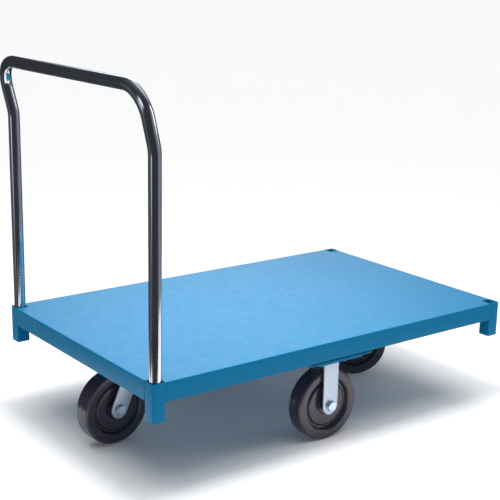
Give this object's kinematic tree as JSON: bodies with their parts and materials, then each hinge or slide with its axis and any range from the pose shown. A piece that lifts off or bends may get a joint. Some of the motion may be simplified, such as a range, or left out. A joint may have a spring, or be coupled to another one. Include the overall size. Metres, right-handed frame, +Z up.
{
  "type": "platform truck",
  "caption": "Steel platform truck: flat deck with corner stake pockets, lift-out tubular push handle, rigid casters at mid-length and swivel casters at the ends.",
  "frame": {"origin": "on the floor, under the centre of the whole object's box", "axes": "+X along the deck, away from the handle; +Y across the deck; +Z up"},
  "size_m": [1.25, 0.762, 1.0244],
  "materials": {
    "blue_paint": "gloss",
    "handle_chrome": "polished",
    "zinc_casters": "satin",
    "zinc_fasteners": "satin",
    "wheel_phenolic": "gloss",
    "bare_steel": "satin"
  },
  "bodies": {
    "frame": {"corner_post_front_far": "blue_paint", "corner_post_front_near": "blue_paint", "corner_post_handle_far": "blue_paint", "corner_post_handle_near": "blue_paint", "deck_sheet": "blue_paint", "end_rail_front": "blue_paint", "end_rail_handle": "blue_paint", "front_end_cross_channel": "blue_paint", "front_end_mounting_pad": "blue_paint", "front_end_swivel_ball_race": "zinc_casters", "front_end_swivel_bolt_1": "zinc_fasteners", "front_end_swivel_bolt_2": "zinc_fasteners", "front_end_swivel_bolt_3": "zinc_fasteners", "front_end_swivel_bolt_4": "zinc_fasteners", "front_end_swivel_kingpin": "bare_steel", "front_end_swivel_top_plate": "zinc_casters", "handle_end_cross_channel": "blue_paint", "handle_end_mounting_pad": "blue_paint", "handle_end_swivel_ball_race": "zinc_casters", "handle_end_swivel_bolt_1": "zinc_fasteners", "handle_end_swivel_bolt_2": "zinc_fasteners", "handle_end_swivel_bolt_3": "zinc_fasteners", "handle_end_swivel_bolt_4": "zinc_fasteners", "handle_end_swivel_kingpin": "bare_steel", "handle_end_swivel_top_plate": "zinc_casters", "pocket_stop_far": "blue_paint", "pocket_stop_near": "blue_paint", "rigid_cross_channel": "blue_paint", "rigid_far_axle_bolt": "zinc_fasteners", "rigid_far_axle_nut": "zinc_fasteners", "rigid_far_bolt_1": "zinc_fasteners", "rigid_far_bolt_2": "zinc_fasteners", "rigid_far_bolt_3": "zinc_fasteners", "rigid_far_bolt_4": "zinc_fasteners", "rigid_far_fork": "zinc_casters", "rigid_mounting_pad": "blue_paint", "rigid_near_axle_bolt": "zinc_fasteners", "rigid_near_axle_nut": "zinc_fasteners", "rigid_near_bolt_1": "zinc_fasteners", "rigid_near_bolt_2": "zinc_fasteners", "rigid_near_bolt_3": "zinc_fasteners", "rigid_near_bolt_4": "zinc_fasteners", "rigid_near_fork": "zinc_casters", "side_rail_far": "blue_paint", "side_rail_near": "blue_paint"},
    "handle": {"handle_tube": "handle_chrome"},
    "rigid_wheel_near": {"rigid_near_wheel": "wheel_phenolic", "rigid_near_hub_sleeve": "bare_steel"},
    "rigid_wheel_far": {"rigid_far_wheel": "wheel_phenolic", "rigid_far_hub_sleeve": "bare_steel"},
    "handle_end_caster": {"handle_end_swivel_fork": "zinc_casters", "handle_end_swivel_axle_bolt": "zinc_fasteners", "handle_end_swivel_axle_nut": "zinc_fasteners"},
    "front_end_caster": {"front_end_swivel_fork": "zinc_casters", "front_end_swivel_axle_bolt": "zinc_fasteners", "front_end_swivel_axle_nut": "zinc_fasteners"},
    "handle_end_wheel": {"handle_end_swivel_wheel": "wheel_phenolic", "handle_end_swivel_hub_sleeve": "bare_steel"},
    "front_end_wheel": {"front_end_swivel_wheel": "wheel_phenolic", "front_end_swivel_hub_sleeve": "bare_steel"}
  },
  "joints": [
    {"name": "handle_lift", "type": "slide", "parent": "frame", "child": "handle", "axis": [0, 0, 1], "range_m": [0, 0.11]},
    {"name": "rigid_near_spin", "type": "hinge", "parent": "frame", "child": "rigid_wheel_near", "pos_m": [0.00536, -0.3048, 0.1016], "axis": [0, 1, 0], "continuous": true},
    {"name": "rigid_far_spin", "type": "hinge", "parent": "frame", "child": "rigid_wheel_far", "pos_m": [0.00536, 0.3048, 0.1016], "axis": [0, 1, 0], "continuous": true},
    {"name": "handle_end_swivel", "type": "hinge", "parent": "frame", "child": "handle_end_caster", "pos_m": [-0.43424, 0, 0.216], "axis": [0, 0, 1], "continuous": true},
    {"name": "front_end_swivel", "type": "hinge", "parent": "frame", "child": "front_end_caster", "pos_m": [0.46496, 0, 0.216], "axis": [0, 0, 1], "continuous": true},
    {"name": "handle_end_spin", "type": "hinge", "parent": "handle_end_caster", "child": "handle_end_wheel", "pos_m": [-0.48657, -0.00421, 0.1016], "axis": [-0.0802, 0.9968, 0], "continuous": true},
    {"name": "front_end_spin", "type": "hinge", "parent": "front_end_caster", "child": "front_end_wheel", "pos_m": [0.42093, 0.02859, 0.1016], "axis": [0.5446, 0.8387, 0], "continuous": true}
  ]
}
